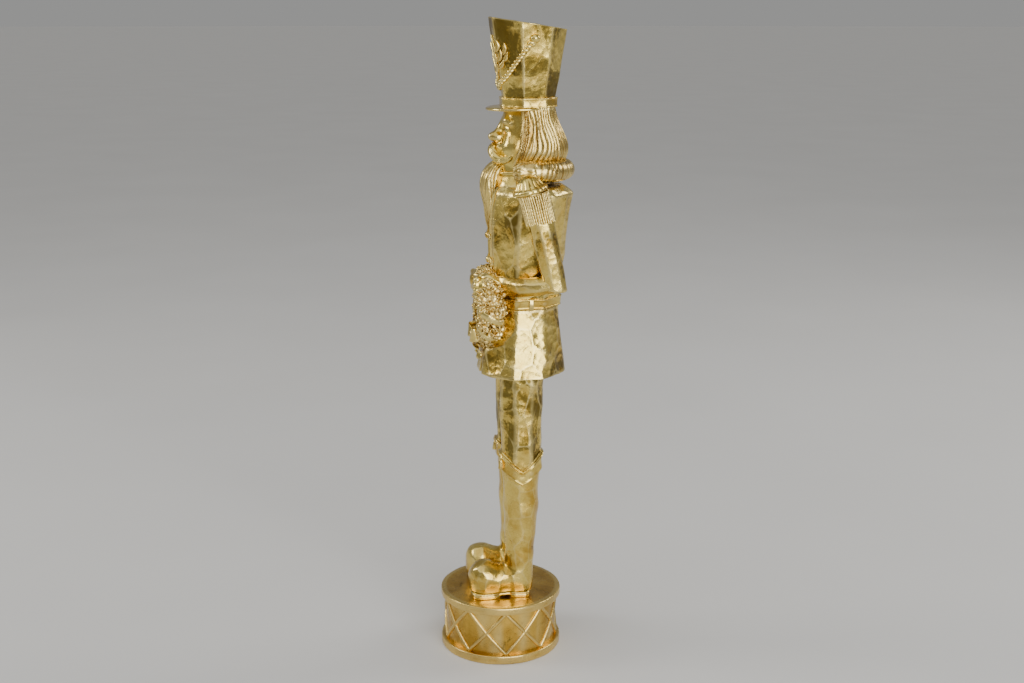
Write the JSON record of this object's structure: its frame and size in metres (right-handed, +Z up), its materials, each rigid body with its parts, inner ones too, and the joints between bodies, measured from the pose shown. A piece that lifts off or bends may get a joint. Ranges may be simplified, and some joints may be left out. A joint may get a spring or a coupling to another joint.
{
  "type": "nutcracker figure",
  "caption": "Gold standing nutcracker figure in shako, coat and boots on a toy drum, holding a leafy wreath with a bow.",
  "frame": {"origin": "centre of the drum's underside, on the surface that the figure stands on", "axes": "+Z up; the figure looks towards -Y; its left side is +X"},
  "size_m": [0.125, 0.1276, 0.6011],
  "materials": {
    "gold": "gold leaf on cast resin, satin to gloss",
    "leaf_gold": "gold leaf on finely modelled leaves",
    "stranded_gold": "gold leaf on modelled strands",
    "bare_resin": "unfinished cast resin",
    "steel": "plain drawn rod",
    "felt": "glued felt"
  },
  "bodies": {
    "root": {"base_pad": "felt", "base_plate": "bare_resin", "beard": "stranded_gold", "belt": "gold", "belt_buckle": "gold", "belt_keepers": "gold", "boot_cuff_left": "gold", "boot_cuff_right": "gold", "boot_heel_left": "gold", "boot_heel_right": "gold", "boot_left": "gold", "boot_right": "gold", "boot_sole_left": "gold", "boot_sole_right": "gold", "coat_placket": "gold", "coat_skirt": "gold", "coat_torso": "gold", "collar": "gold", "cuff_tassel_left": "gold", "cuff_tassel_right": "gold", "drum_cords": "gold", "drum_head": "gold", "drum_hoop_bottom": "gold", "drum_hoop_top": "gold", "drum_shell": "gold", "epaulette_fringe_left": "stranded_gold", "epaulette_fringe_right": "stranded_gold", "epaulette_left": "gold", "epaulette_right": "gold", "forearm_left": "gold", "forearm_right": "gold", "frog_fastenings": "gold", "hair": "stranded_gold", "hair_roll": "stranded_gold", "hand_left": "gold", "hand_right": "gold", "hat_band": "gold", "hat_cord": "gold", "hat_cord_knobs": "gold", "hat_crown": "gold", "hat_dowel": "steel", "hat_emblem": "gold", "hat_visor": "gold", "head": "gold", "leg_rod_left": "steel", "leg_rod_right": "steel", "moustache": "stranded_gold", "neck_dowel": "steel", "side_curl_left": "stranded_gold", "side_curl_right": "stranded_gold", "trouser_leg_left": "gold", "trouser_leg_right": "gold", "upper_arm_left": "gold", "upper_arm_right": "gold", "wreath_bow": "gold", "wreath_ribbon": "gold", "wreath_ring": "leaf_gold"}
  },
  "joints": []
}
